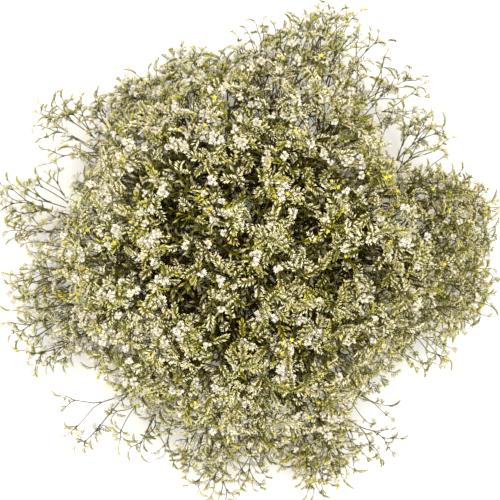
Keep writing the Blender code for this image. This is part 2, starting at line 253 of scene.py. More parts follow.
# The chances between which florets turn white and spikes fresh, straw or lime, and other blends
WHITE_WHIMS = (0.45, 0.9)
FRESH_MOODS = (0.5, 1.0)
STRAW_MOODS = (0.76, 0.80)
LIME_MOODS = (0.86, 0.87)
GREEN_TO_TIP = (0.10, 0.75)
LIT_STREAKS = (0.35, 0.65)
LIT_FIBRES = (0.3, 0.65)

# The twine: shares of its radius, steps, and the bend and tip of an end in millimetres
PLY_OFFSET = 0.46
PLY_RADIUS = 0.56
TWINE_SIDES = 6
TURN_STEPS = 120
KNOT_STEPS = 90
KNOT_SHARE = 0.8
KNOT_SIZE = 0.95
END_SHARE = 0.9
END_STEPS = 20
END_BEND = (10, -3, -8)
END_TIP = (12, -4, -20)
END_SLANT = 0.5

# The studio: lamps as (name, place, size, watts), all aimed at the middle of the floor
LAMPS = (
    ("over", (0.08, 0.10, 2.6), 1.1, 94),
    ("left", (-2.2, 0.8, 1.4), 1.6, 11),
    ("right", (2.2, -0.8, 1.4), 1.6, 8),
)
SKY_STRENGTH = 0.70
FLOOR_PATCH = 0.4
SENSOR_WIDTH = 36
CAMERA_ASIDE = 2 * MM


def paint(screen):
    """The linear values of a colour that is given as screen values from 0 to 255."""
    return tuple((value / 255) ** 2.2 for value in screen)


def setting(kind, convert=lambda value: value, **limits):
    """A short way to write properties of a kind, each as its name, description and default."""
    return lambda name, text, value: kind(
        name=name, description=text, default=convert(value), **limits
    )


length = setting(FloatProperty, min=0, unit="LENGTH", precision=4)
share = setting(FloatProperty, min=0, max=1, subtype="FACTOR")
angle = setting(FloatProperty, radians, subtype="ANGLE")
number = setting(IntProperty, min=0)
colour = setting(FloatVectorProperty, paint, subtype="COLOR", min=0, max=1)


class StaticeStems(PropertyGroup):
    """Sizes of the bare stems."""

    tie_height: length("Tie height", "Height of the tie's middle", 95 * MM)
    radius: length("Radius", "Radius of a bare stem", 1.6 * MM)
    gap: length("Gap", "Room between stems in the tie", 0.35 * MM)
    lean: angle("Lean", "Lean of the outer stems in the tie", 28)
    sides: number("Sides", "Ribs round a stem", 8)


class StaticeHead(PropertyGroup):
    """Sizes of the round head. Shares are of its reach."""

    top_reach: length("Top reach", "From the fan centre to the crown", 255 * MM)
    clumps: number("Clumps", "Clumps of sprigs outside", 490)
    inner_sprigs: number("Inner sprigs", "Shaded sprigs inside", 860)
    short_wisps: number("Short wisps", "Branches of the fringe", 64)
    top_depth: share("Top depth", "Depth of sprigs at the crown", 0.17)
    side_depth: share("Side depth", "Depth of sprigs at the edge", 0.22)
    inner_from: share("Inner from", "Where inner sprigs start", 0.30)
    inner_to: share("Inner to", "Where inner sprigs end", 0.68)
    fork_angle: angle("Fork angle", "Between a twig and its forks", 27)
    twig_radius: length("Twig radius", "Radius of the last twigs", 0.52 * MM)


class StaticeSpikes(PropertyGroup):
    """Sizes of the spikes and their florets."""

    length: length("Length", "Length of a spike", 19 * MM)
    stalk: share("Stalk", "The bare part of a spike", 0.16)
    axis_radius: length("Axis radius", "Radius of a spike's foot", 0.42 * MM)
    bud_length: length("Bud length", "Length of a closed bud", 5.8 * MM)
    bud_radius: length("Bud radius", "Largest radius of a bud", 0.80 * MM)
    cup_length: length("Cup length", "Length of a half-open calyx", 5.4 * MM)
    cup_radius: length("Cup radius", "Radius of its mouth", 1.2 * MM)
    calyx_length: length("Calyx length", "Length of a wide calyx", 4.8 * MM)
    mouth_radius: length("Mouth radius", "Radius of its mouth", 2.1 * MM)
    petal_radius: length("Petal radius", "Radius of the petals", 2.4 * MM)
    row_angle: angle("Row angle", "Between a row and the middle", 58)


class StaticeTie(PropertyGroup):
    """Sizes of the twine."""

    radius: length("Radius", "Radius of the twine", 1.1 * MM)
    turns: number("Turns", "Turns round the stems", 3)
    gap: length("Gap", "Room between twine and stems", 0.45 * MM)
    twist: length("Twist", "Length of one twist", 5 * MM)


class StaticeColours(PropertyGroup):
    """Colours of the dried plant, its tie and the floor, and of the painted shade in the head."""

    cream: colour("Cream", "Tips of florets", (213, 203, 142))
    white: colour("White", "Papery mouths", (202, 197, 187))
    lime: colour("Lime", "Yellow-green florets", (181, 174, 22))
    green: colour("Green", "Foot of florets", (94, 89, 18))
    fresh: colour("Fresh", "Florets dried green", (194, 201, 118))
    straw: colour("Straw", "Florets turned brown", (176, 146, 92))
    yellow: colour("Yellow", "Petals", (190, 178, 34))
    twig: colour("Twig", "Twigs and stems", (98, 90, 38))
    dark_twig: colour("Dark twig", "Streaks of twigs", (58, 54, 16))
    # Painted shade: the colour that the deep inside of the head is darkened towards
    shade: colour("Shade", "Depth of the head", (42, 34, 4))
    jute: colour("Jute", "Twine", (170, 132, 82))
    # Painted shade: the twine's colour in the grooves of its fibres' bump
    dark_jute: colour("Dark jute", "Grooves of the twine", (104, 74, 40))
    floor: colour("Floor", "Studio floor", (238, 235, 229))
    floor_patch: colour("Floor patch", "Faint patches", (235, 232, 226))


class StaticeStage(PropertyGroup):
    """The studio."""

    camera_height: length("Camera height", "Height over the floor", 2.45)
    view_width: length("View width", "Width of the frame at the view level", 0.50)
    view_level: length("View level", "Height of the head's edge", 0.13)
    floor_size: length("Floor size", "Side of the floor", 9)


def smooth(x):
    """A share from 0 to 1, eased at both ends, for one number or for many."""
    x = np.clip(x, 0, 1)
    return x * x * (3 - 2 * x)


def between(table, x):
    """The value at x of a table of (place, value), eased from one entry to the next."""
    places, values = np.array(table, float).T
    after = np.clip(np.searchsorted(places, x), 1, len(places) - 1)
    part = (x - places[after - 1]) / (places[after] - places[after - 1])
    return values[after - 1] + (values[after] - values[after - 1]) * smooth(part)


def direction(tilt, azimuth):
    """The unit vector that leans by tilt from straight up, towards azimuth."""
    lean, turn = radians(tilt), radians(azimuth)
    return Vector((sin(lean) * cos(turn), sin(lean) * sin(turn), cos(lean)))


def tilt_of(vector):
    return degrees(vector.angle(UP))


def azimuth_of(vector):
    return degrees(atan2(vector.y, vector.x)) % 360


def square_to(way, wish):
    """The unit vector nearest to a wish that is square to a way."""
    flat = wish - way * wish.dot(way)
    if flat.length < PARALLEL:
        flat = way.orthogonal()
    return flat.normalized()


def stance(place, way, up, size=1.0):
    """The matrix that stands a shape at a place, its length along way and its X side towards up."""
    front = square_to(way, up)
    turn = Matrix((front, way.cross(front), way)).transposed()
    return Matrix.Translation(place) @ turn.to_4x4() @ Matrix.Scale(size, 4)


def sweep(start, start_way, end, end_way, steps):
    """Points of a smooth stretch that leaves start along one way and reaches end along another."""
    pull = (end - start).length / 3
    return interpolate_bezier(start, start + start_way * pull, end - end_way * pull, end, steps + 1)


def random_vector(draw):
    return Vector([draw.gauss(0, SCATTER) for _ in range(3)])


class Spray:
    """One stem with all that grows on it. Its heading is the middle of its cone of the head."""

    def __init__(self, number, heading, ring_radius):
        self.number = number
        self.heading = heading
        self.ring_radius = ring_radius
        self.draw = random.Random(SEED + number)
        self.tips, self.limbs, self.spikes, self.scales = [], [], [], []


class Bunch:
    """The plan of the bunch: where its stems run and where its head ends."""

    def __init__(self, stems, head):
        self.stems = stems
        self.head = head
        self.fan_centre = Vector((0, 0, stems.tie_height))
        chord = 2 * stems.radius / cos(stems.lean) + stems.gap
        outer = chord / (2 * sin(pi / STEM_RINGS[-1][0]))
        self.ring_radii = (0, outer / 2, outer)
        self.twist = tan(stems.lean) / outer
        self.sprays = []
        for ring_radius, (count, tilt, first) in zip(self.ring_radii, STEM_RINGS):
            for place in range(count):
                heading = direction(tilt, first + 360 * place / count)
                self.sprays.append(Spray(len(self.sprays) + 1, heading, ring_radius))

    def reach(self, headings):
        """How far the head's surface lies from the fan centre, in one direction or in many."""
        x, y, z = np.array(headings).T
        tilt = np.degrees(np.arccos(np.clip(z, -1, 1)))
        edge = between(EDGE_REACH, np.degrees(np.arctan2(y, x)) % 360) * MM
        edge_share = smooth((tilt - EDGE_STARTS_AT) / (EDGE_FULL_AT - EDGE_STARTS_AT))
        under = smooth((tilt - UNDERSIDE_FROM) / (LOWEST_TILT - UNDERSIDE_FROM))
        whole = self.head.top_reach + (edge - self.head.top_reach) * edge_share
        return whole * (1 - (1 - UNDERSIDE_SHARE) * under)

    def at(self, heading, part):
        """The point at a share of the head's reach in a direction."""
        return self.fan_centre + heading * float(self.reach(heading)) * part

    def crossing(self, spray, reach):
        """(tilt, azimuth turned since the tie) of the straight leaning stem at a reach."""
        ring = spray.ring_radius
        height = sqrt((reach**2 - ring**2) / (1 + (self.twist * ring) ** 2))
        return degrees(acos(height / reach)), degrees(atan(self.twist * height))

    def stem_point(self, spray, reach):
        """A point of the stem above the tie, at a distance from the fan centre."""
        tilt, turned = self.crossing(spray, reach)
        end_tilt, end_turned = self.crossing(spray, BEND_END)
        bent = smooth((reach - BEND_START) / (BEND_END - BEND_START))
        tilt += (tilt_of(spray.heading) - end_tilt) * bent
        azimuth = azimuth_of(spray.heading) + turned - end_turned
        return self.fan_centre + direction(tilt, azimuth) * reach

    def tie_point(self, spray):
        """Where the stem crosses the middle of the tie."""
        _, end_turned = self.crossing(spray, BEND_END)
        return self.fan_centre + direction(90, azimuth_of(spray.heading) - end_turned) * spray.ring_radius

    def nearest(self, heading):
        return max(self.sprays, key=lambda spray: spray.heading.dot(heading))


def even_headings(count, bias=1):
    """Directions from straight up to the lowest edge. A bias over 1 favours the crown."""
    lowest = cos(radians(LOWEST_TILT))
    for place in range(count):
        part = ((place + 0.5) / count) ** bias
        tilt = degrees(acos(1 - (1 - lowest) * part))
        yield direction(tilt, GOLDEN_TURN * place)


def spike_kind(tip, heading, draw):
    """A kind of spike for a tip: whiter to the left and above, and mostly tufts on the wisps."""
    if tip.kind == "inner":
        return SHADED
    white = max(0, WHITE_MIDWAY - WHITE_LEFT * heading.x + WHITE_ABOVE * heading.y)
    added = PLACES[tip.kind].whiter * white
    odds = [getattr(kind, tip.kind) + (added if kind.round else 0) for kind in SPIKES]
    return draw.choices(SPIKES, odds)[0]


def scatter_sprigs(bunch):
    """Tips of sprigs, spread over the head, each on the spray whose heading lies nearest."""
    head = bunch.head
    draw = random.Random(SEED)
    depths = ((EDGE_STARTS_AT, head.top_depth), (EDGE_FULL_AT, head.side_depth))
    for middle in even_headings(head.clumps):
        middle = (middle + random_vector(draw) * CLUMP_JITTER).normalized()
        clump_deep = draw.random()
        for _ in range(draw.choice(CLUMP_SIZES)):
            heading = (middle + random_vector(draw) * CLUMP_SPREAD).normalized()
            tilt = tilt_of(heading)
            if tilt > LOWEST_TILT or tilt > UNDERSIDE_FROM and draw.random() > UNDERSIDE_KEPT:
                continue
            chance = sqrt((clump_deep + draw.random()) / 2)
            deep = float(between(depths, max(EDGE_STARTS_AT, tilt))) * chance
            way = (heading * OUTWARD + random_vector(draw) * ASTRAY + UP * UPWARD).normalized()
            tip = Tip(bunch.at(heading, 1 - deep), way, draw.choice(SPRIG_SPIKES), "outer")
            bunch.nearest(heading).tips.append(tip)
    for even in even_headings(head.inner_sprigs, INNER_BIAS):
        heading = (even + random_vector(draw) * CLUMP_JITTER).normalized()
        part = draw.uniform(head.inner_from, head.inner_to)
        add_inner_tip(bunch, heading, bunch.at(heading, part), draw)
    for azimuth, away in THIN_PLACES:
        for _ in range(THIN_SPRIGS):
            tilt = draw.uniform(*THIN_TILTS)
            heading = direction(tilt, azimuth + draw.uniform(-THIN_STRAY, THIN_STRAY))
            place = bunch.fan_centre + heading * (away * MM / hypot(heading.x, heading.y))
            add_inner_tip(bunch, heading, place, draw)


def add_inner_tip(bunch, heading, place, draw):
    """One shaded sprig inside the head."""
    way = (heading + random_vector(draw) * INNER_ASTRAY).normalized()
    bunch.nearest(heading).tips.append(Tip(place, way, INNER_SPIKES, "inner"))


def scatter_wisps(bunch):
    """Tips of the branches that stand out of the edge, each with side twigs like an arrow head."""
    draw = random.Random(SEED + 1)
    wisps = list(WISPS)
    for _ in range(bunch.head.short_wisps):
        azimuth, _, longest = draw.choices(FRINGE, [full for _, full, _ in FRINGE])[0]
        azimuth += draw.uniform(-FRINGE_STRAY, FRINGE_STRAY)
        wisps.append((azimuth, longest * draw.uniform(*FRINGE_REACH), draw.uniform(*FRINGE_TILTS)))
    for azimuth, reach, tilt in wisps:
        heading = direction(tilt, azimuth)
        across = UP.cross(heading).normalized()
        combed = COMBED_FROM < azimuth < COMBED_TO
        curl = COMBED_CURL if combed else draw.uniform(-WISP_CURL, WISP_CURL)
        along = (heading + across * curl).normalized()
        tip = bunch.fan_centre + heading * reach * MM
        spray = bunch.nearest(heading)
        spray.tips.append(Tip(tip - along * WISP_END * MM, along, WISP_END_SPIKES, "wisp"))
        for step in range(SIDE_TIPS):
            side = 1 if step % 2 else -1
            back = (WISP_END + SIDE_BACK_STEP * step + draw.uniform(*SIDE_BACK_PLAY)) * MM
            out = (SIDE_OUT + SIDE_OUT_STEP * step + draw.uniform(*SIDE_OUT_PLAY)) * MM
            lift = draw.uniform(*SIDE_LIFT) * MM
            place = tip - along * back + across * side * out + UP * lift
            way = (along + across * side * SIDE_LEAN).normalized()
            spray.tips.append(Tip(place, way, draw.choice(SIDE_SPIKES), "wisp"))


def split_in_two(tips):
    """A group of tips as two halves, parted across the direction in which they spread most."""
    places = np.array([tip.place for tip in tips])
    around = places - places.mean(axis=0)
    spread = np.linalg.svd(around, full_matrices=False)[2][0]
    order = np.argsort(around @ spread)
    half = len(tips) // 2
    return [tips[place] for place in order[:half]], [tips[place] for place in order[half:]]


def twig_radius(bunch, count):
    """The radius of a twig that carries a number of sprigs."""
    head = bunch.head
    whole = max(len(spray.tips) for spray in bunch.sprays)
    power = log(bunch.stems.radius / head.twig_radius) / log(whole)
    return head.twig_radius * count**power


def grow_twigs(bunch, spray, start, start_way, tips):
    """Twigs from a point to all of a group of tips, forked in two again and again."""
    if len(tips) == 1:
        grow_sprig(bunch, spray, start, start_way, tips[0])
        return
    middle = sum((tip.place for tip in tips), Vector()) / len(tips)
    way = (middle - start).normalized()
    far = (middle - start).length
    spread = max((tip.place - middle - way * (tip.place - middle).dot(way)).length for tip in tips)
    run = far - spread / tan(bunch.head.fork_angle)
    run = min(max(run, far * LEAST_RUN, SHORTEST_RUN), far * MOST_RUN)
    aside = square_to(way, random_vector(spray.draw)) * run * TWIG_STRAY
    end = start + way * run + aside
    end_way = (way - start_way * SWING_BACK).normalized()
    radius = twig_radius(bunch, len(tips))
    points = sweep(start, start_way, end, end_way, 3 if run > LONG_RUN else 2)
    halves = split_in_two(tips)
    thinner = twig_radius(bunch, max(len(half) for half in halves))
    spray.limbs.append((points, np.linspace(radius, thinner, len(points))))
    spray.scales.append((end, end_way, random_vector(spray.draw), radius))
    for half in halves:
        grow_twigs(bunch, spray, end, end_way, half)


def grow_sprig(bunch, spray, start, start_way, tip):
    """The last twig, to one tip, with a spike at the end and the others along its sides."""
    where = PLACES[tip.kind]
    draw = spray.draw
    far = (tip.place - start).length
    way = (tip.way + (tip.place - start).normalized() * STRAIGHT).normalized()
    points = sweep(start, start_way, tip.place, way, where.bends)
    thick, thin = (bunch.head.twig_radius * part for part in SPRIG_TAPER)
    spray.limbs.append((points, np.linspace(thick, thin, len(points))))
    outward = (tip.place - bunch.fan_centre).normalized()
    first_side = square_to(way, outward.cross(way) if tip.kind == "wisp" else random_vector(draw))
    for place in range(tip.spikes):
        turn = where.turn * place + draw.uniform(-TURN_PLAY, TURN_PLAY)
        side = Matrix.Rotation(radians(turn), 3, way) @ first_side
        lean = radians(draw.uniform(*(SPIKE_LEAN if place else END_LEAN)))
        foot = tip.place
        if place:
            back = (FIRST_BACK + where.step * place + draw.uniform(-BACK_PLAY, BACK_PLAY)) * MM
            foot = along_points(points, min(far * FARTHEST_BACK, back))
        spike_way = way * cos(lean) + side * sin(lean)
        kind = spike_kind(tip, outward, draw)
        if kind.round:
            spike_way = (outward + side * ROUND_LEAN).normalized()
        up = square_to(spike_way, outward + random_vector(draw) * UP_PLAY)
        size = draw.uniform(*SIZE_PLAY) * where.size
        spray.spikes.append((kind.name, stance(foot, spike_way, up, size), draw.random()))


def along_points(points, back):
    """The point that lies a distance back from the end of a line of points."""
    for before, after in zip(points[-2::-1], points[:0:-1]):
        step = (after - before).length
        if back <= step:
            return after.lerp(before, back / step)
        back -= step
    return points[0]


def grow_stem(bunch, spray):
    """The bare stem, from under its cut end to the first fork."""
    at_tie = bunch.tie_point(spray)
    start = bunch.stem_point(spray, BEND_START)
    slope = (start - at_tie) / (start.z - at_tie.z)
    low = at_tie - slope * (bunch.stems.tie_height + STEM_UNDER_FLOOR)
    points = [low.lerp(start, part) for part in STEM_SHARES]
    points += [bunch.stem_point(spray, reach * MM) for reach in STEM_REACHES]
    end_radius = twig_radius(bunch, len(spray.tips)) * STEM_END
    return points, np.linspace(bunch.stems.radius, end_radius, len(points))


def deselect():
    bpy.ops.object.select_all(action="DESELECT")


def take(piece):
    """Make a piece the only one that operators act on."""
    deselect()
    piece.select_set(True)
    bpy.context.view_layer.objects.active = piece


def edit_mode():
    bpy.ops.object.mode_set(mode="EDIT")


def object_mode():
    bpy.ops.object.mode_set(mode="OBJECT")


def pick(piece, chosen=lambda part: True, faces=False):
    """Select the corners or faces of a piece that a test picks, or all of them, in edit mode."""
    take(piece)
    edit_mode()
    bpy.ops.mesh.select_mode(type="FACE" if faces else "VERT")
    bpy.ops.mesh.select_all(action="DESELECT")
    object_mode()
    for part in piece.data.polygons if faces else piece.data.vertices:
        part.select = chosen(part)
    edit_mode()


def store(piece, name, values):
    """Store numbers on the corners of a piece."""
    attribute = piece.data.attributes.get(name) or piece.data.attributes.new(name, "FLOAT", "POINT")
    attribute.data.foreach_set("value", values)


def write_number(piece, name, value):
    """Store a number on each corner of a piece, from a value or from a rule on its place."""
    corners = piece.data.vertices
    store(piece, name, [value(corner.co) if callable(value) else value for corner in corners])


def joined(pieces, name):
    """Several pieces as one."""
    deselect()
    for piece in pieces:
        piece.select_set(True)
    bpy.context.view_layer.objects.active = pieces[0]
    bpy.ops.object.join()
    whole = bpy.context.object
    whole.name = name
    whole.data.name = name
    return whole


def copy_of(master, matrix):
    """A copy of a master, with its own mesh, at a stance."""
    piece = master.copy()
    piece.data = master.data.copy()
    piece.matrix_world = matrix
    bpy.context.scene.collection.objects.link(piece)
    return piece


def ring_curve(sides):
    """A closed ring with a few straight sides, to draw tubes with."""
    ring = bpy.data.curves.new("ring", "CURVE")
    spline = ring.splines.new("POLY")
    spline.use_cyclic_u = True
    spline.points.add(sides - 1)
    for place, knot in enumerate(spline.points):
        turn = -tau * place / sides
        knot.co = (cos(turn), sin(turn), 0, 1)
    return bpy.data.objects.new("ring", ring)


def threads(name, strands, finish, sides=3):
    """Closed tubes through strands of (points, radii), in one mesh."""
    ring = ring_curve(sides)
    curve = bpy.data.curves.new(name, "CURVE")
    curve.dimensions = "3D"
    curve.bevel_mode = "OBJECT"
    curve.bevel_object = ring
    curve.use_fill_caps = True
    for points, radii in strands:
        spline = curve.splines.new("POLY")
        spline.points.add(len(points) - 1)
        for knot, point, radius in zip(spline.points, points, radii):
            knot.co = (*point, 1)
            knot.radius = radius
    piece = bpy.data.objects.new(name, curve)
    bpy.context.scene.collection.objects.link(piece)
    take(piece)
    bpy.ops.object.convert(target="MESH")
    piece = bpy.context.object
    edit_mode()
    bpy.ops.mesh.select_all(action="SELECT")
    bpy.ops.mesh.remove_doubles(threshold=WELD)
    bpy.ops.mesh.normals_make_consistent(inside=False)
    object_mode()
    bpy.data.objects.remove(ring)
    piece.data.materials.clear()
    piece.data.materials.append(finish)
    return piece


def fresh_cone(sides, radius, height, finish):
    """A cone that stands on its point at the origin and opens upwards."""
    deselect()
    bpy.ops.mesh.primitive_cone_add(
        vertices=sides, radius1=0, radius2=radius, depth=height, location=(0, 0, height / 2)
    )
    cone = bpy.context.object
    bpy.ops.object.transform_apply()
    cone.data.materials.append(finish)
    return cone


def raise_lid(cone, height, offset):
    """Turn the flat lid of a cone into a peak, or a hollow where the offset is negative."""
    pick(cone, lambda face: face.center.z > height - HAIR, faces=True)
    bpy.ops.mesh.poke(offset=offset)
    object_mode()


def model_bud(spikes, finish):
    """A closed bud: a slim club, widest past its middle."""
    shoulder = spikes.bud_length * BUD_SHOULDER
    bud = fresh_cone(BUD_SIDES, spikes.bud_radius, shoulder, finish)
    raise_lid(bud, shoulder, spikes.bud_length - shoulder)
    write_number(bud, "along", lambda co: co.z / spikes.bud_length)
    return bud


def model_funnel(shape, radius, rim, finish):
    """A funnel whose rim is parted into lobes, with deep folds between them."""

    def in_fold(corner):
        x, y, z = corner.co
        return z > rim * NEAR_RIM and cos(atan2(x, y) * shape.lobes) < 0

    funnel = fresh_cone(2 * shape.lobes, radius, rim, finish)
    raise_lid(funnel, rim, -rim * shape.hollow)
    pick(funnel, in_fold)
    bpy.ops.transform.resize(value=(shape.fold, shape.fold, 1), center_override=(0, 0, rim))
    bpy.ops.transform.translate(value=(0, 0, -shape.drop))
    object_mode()
    write_number(funnel, "along", lambda co: min(1, co.z / rim))
    return funnel


def model_petals(spikes, finish):
    """Five small petals that spread over the mouth of a cup."""
    petals = model_funnel(PETALS, spikes.petal_radius, PETAL_DEPTH, finish)
    pick(petals)
    bpy.ops.transform.translate(value=(0, 0, spikes.cup_length - PETAL_DEPTH))
    object_mode()
    write_number(petals, "along", 1)
    return petals


def arch_stations(size, arch):
    """(place, way, up side) along a spike that starts upwards and arches over towards -X."""
    place = Vector()
    for step in range(ARCH_STEPS + 1):
        turned = radians(arch) * (step / ARCH_STEPS) ** ARCH_EASE
        way = Vector((-sin(turned), 0, cos(turned)))
        yield place.copy(), way, Vector((cos(turned), 0, sin(turned)))
        place += way * size / ARCH_STEPS


def model_spike(spikes, kind, florets, finish):
    """A spike: a thin arching axis with two rows of florets on its upper side."""
    draw = random.Random(kind.name)
    stations = list(arch_stations(spikes.length * kind.size, kind.arch))
    stride = FINE_AXIS if kind.arch > WELL_ARCHED else COARSE_AXIS
    axis = [place for place, _, _ in stations[::stride]]
    strand = (axis, np.linspace(spikes.axis_radius, spikes.axis_radius / 2, len(axis)))
    parts = [threads(kind.name, [strand], finish)]
    write_number(parts[0], "whim", 0)
    write_number(parts[0], "along", 0)
    spread = radians(kind.splay)
    for place, letter in enumerate(kind.florets):
        part = (place + FIRST_FLORET) / (len(kind.florets) - 1 + FIRST_FLORET)
        at = spikes.stalk + (1 - spikes.stalk) * part
        foot, way, up = stations[min(ARCH_STEPS - 1, round(at * ARCH_STEPS))]
        open_side = up.cross(way) * (1 if place % 2 else -1)
        row = spikes.row_angle + draw.uniform(-ROW_PLAY, ROW_PLAY) + kind.round * ROUND_TURN * place
        aside = up * cos(row) + open_side * sin(row)
        near_tip = smooth((part - NEAR_TIP) / (1 - NEAR_TIP))
        fan = spread * (1 - TIP_CLOSES * near_tip) + draw.uniform(-FAN_PLAY, FAN_PLAY)
        floret_way = way * cos(fan) + aside * sin(fan)
        size = (1 - TIP_SHRINKS * near_tip) * draw.uniform(*FLORET_SIZES)
        matrix = stance(foot, floret_way, random_vector(draw), size)
        whim = draw.random()
        for master in florets[letter]:
            floret = copy_of(master, matrix)
            write_number(floret, "whim", whim)
            parts.append(floret)
    spike = joined(parts, kind.name)
    write_number(spike, "ripe", kind.ripe)
    return spike


def model_scale(finish):
    """A dry scale leaf that clasps a fork: a thin pointed blade."""
    scale = fresh_cone(SCALE_SIDES, SCALE_RADIUS, SCALE_SHOULDER, finish)
    raise_lid(scale, SCALE_SHOULDER, SCALE_POINT)
    pick(scale)
    bpy.ops.transform.resize(value=(SCALE_THICKNESS, 1, 1), center_override=(0, 0, 0))
    object_mode()
    return scale


def model_masters(context, finishes):
    """The spikes of all kinds, by name, and the scale leaf."""
    spikes = context.scene.statice_spikes
    papery = finishes["calyx"]
    bud = model_bud(spikes, papery)
    cup = model_funnel(CUP, spikes.cup_radius, spikes.cup_length, papery)
    calyx = model_funnel(CALYX, spikes.mouth_radius, spikes.calyx_length, papery)
    petals = model_petals(spikes, finishes["petal"])
    florets = {"b": [bud], "c": [cup], "o": [calyx], "y": [cup, petals]}
    masters = {kind.name: model_spike(spikes, kind, florets, papery) for kind in (*SPIKES, SHADED)}
    for piece in (bud, cup, calyx, petals):
        bpy.data.objects.remove(piece)
    masters["scale"] = model_scale(finishes["twig"])
    return masters


def model_stem(bunch, spray, finish):
    """The bare stem, cut level where it meets the floor."""
    stem = threads("stem", [grow_stem(bunch, spray)], finish, bunch.stems.sides)
    pick(stem)
    bpy.ops.mesh.bisect(plane_co=(0, 0, 0), plane_no=(0, 0, -1), use_fill=True, clear_outer=True)
    object_mode()
    stem.data.shade_smooth()
    return stem


def model_spray(bunch, spray, masters, finishes):
    """One whole spray."""
    stem = model_stem(bunch, spray, finishes["twig"])
    twigs = threads("twigs", spray.limbs, finishes["twig"])
    twigs.data.shade_smooth()
    parts = [twigs, stem]
    for place, way, up, radius in spray.scales:
        leaf_way = (way + square_to(way, up) * SCALE_LEAN).normalized()
        size = SCALE_SIZE + radius / MM * SCALE_GROWTH
        parts.append(copy_of(masters["scale"], stance(place, leaf_way, way, size)))
    for kind, matrix, whim in spray.spikes:
        spike = copy_of(masters[kind], matrix)
        shift_whim(spike, whim)
        parts.append(spike)
    piece = joined(parts, f"statice_spray_{spray.number:02d}")
    mark_shade_depth(bunch, piece)
    return piece


def mark_shade_depth(bunch, piece):
    """Store on each corner how near the head's surface it lies, for painted shade, with bare stems at 1.
    """
    places = np.empty(3 * len(piece.data.vertices))
    piece.data.vertices.foreach_get("co", places)
    arms = places.reshape(-1, 3) - np.array(bunch.fan_centre)
    far = np.linalg.norm(arms, axis=1)
    # The crown gets less painted shade than the sides, so it is painted lighter
    crown = CROWN_LIGHTER * (arms[:, 2] / far - CROWN_FROM)
    surface = far / bunch.reach(arms / far[:, None]) + crown
    # Painted shade fades off the bare stems towards the tie, and under it they have none
    below = 1 - smooth(arms[:, 2] / STEM_LIT_TO)
    store(piece, "deep", np.maximum(surface, below))


def shift_whim(piece, offset):
    """Give the florets of a copied spike their own chances, and the whole spike one of its own."""
    values = np.empty(len(piece.data.vertices))
    piece.data.attributes["whim"].data.foreach_get("value", values)
    store(piece, "whim", (values + offset) % 1)
    store(piece, "mood", np.full(len(values), offset))


class Value:
    """A number in a material, which Python's operators reckon with by adding Math nodes."""

    def __init__(self, finish, socket):
        self.finish = finish
        self.socket = socket

    def reckon(self, operation, first, second):
        settings = {"operation": operation}
        return Value(self.finish, self.finish.node("ShaderNodeMath", settings, {0: first, 1: second}))

    def __add__(self, other):
        return self.reckon("ADD", self, other)

    def __sub__(self, other):
        return self.reckon("SUBTRACT", self, other)

    def __rsub__(self, other):
        return self.reckon("SUBTRACT", other, self)

    def __mul__(self, other):
        return self.reckon("MULTIPLY", self, other)

    __radd__ = __add__
    __rmul__ = __mul__

    def eased(self, low, high):
        """From 0 at low to 1 at high, eased at both ends."""
        settings = {"interpolation_type": "SMOOTHSTEP"}
        values = {"Value": self, "From Min": low, "From Max": high}
        return Value(self.finish, self.finish.node("ShaderNodeMapRange", settings, values))


class Finish:
    """A material and the nodes that draw it."""

    def __init__(self, name, roughness):
        self.material = bpy.data.materials.new(name)
        self.material.use_nodes = True
        self.tree = self.material.node_tree
        self.shader = self.tree.nodes["Principled BSDF"]
        self.shader.inputs["Roughness"].default_value = roughness
        self.shader.inputs["Specular IOR Level"].default_value = SHINE

    def node(self, kind, settings=None, values=None, output=None):
        """One output of a new node with these settings and socket values or links."""
        made = self.tree.nodes.new(kind)
        for name, setting in (settings or {}).items():
            setattr(made, name, setting)
        for name, value in (values or {}).items():
            socket = made.inputs[name]
            if not socket.enabled:
                socket = next(found for found in made.inputs if found.name == name and found.enabled)
            self.feed(socket, value)
        if output:
            return made.outputs[output]
        return next(found for found in made.outputs if found.enabled)

    def feed(self, socket, value):
        if isinstance(value, Value):
            value = value.socket
        if isinstance(value, bpy.types.NodeSocket):
            self.tree.links.new(value, socket)
        elif hasattr(socket.default_value, "__len__") and len(value) < len(socket.default_value):
            socket.default_value = (*value, 1)
        else:
            socket.default_value = value

    def drive(self, name, value):
        """Feed one of the shader's own sockets."""
        self.feed(self.shader.inputs[name], value)

    def place(self):
        return self.node("ShaderNodeTexCoord", output="Object")

    def stored(self, name):
        """A number that the mesh stores on its corners."""
        return Value(self, self.node("ShaderNodeAttribute", {"attribute_name": name}, output="Fac"))

    def mixed(self, factor, first, second):
        """Two colours, mixed by a factor."""
        values = {"Factor": factor, "A": first, "B": second}
        return self.node("ShaderNodeMix", {"data_type": "RGBA"}, values)

    def noise(self, size, detail=2.0, stretch=(1, 1, 1)):
        """A soft random pattern from 0 to 1, whose patches have a size."""
        scaled = self.node("ShaderNodeMapping", None, {"Vector": self.place(), "Scale": stretch})
        values = {"Vector": scaled, "Scale": 1 / size, "Detail": detail}
        return Value(self, self.node("ShaderNodeTexNoise", None, values, "Fac"))

    def bump(self, height, distance, strength):
        """Relief from a height between 0 and 1."""
        values = {"Height": height, "Distance": distance, "Strength": strength}
        self.drive("Normal", self.node("ShaderNodeBump", None, values))

    def with_painted_shade(self, colours, skin):
        """A colour of the plant, darkened by painted shade deep inside the head."""
        return self.mixed(self.stored("deep").eased(*SHADE_RANGE), colours.shade, skin)


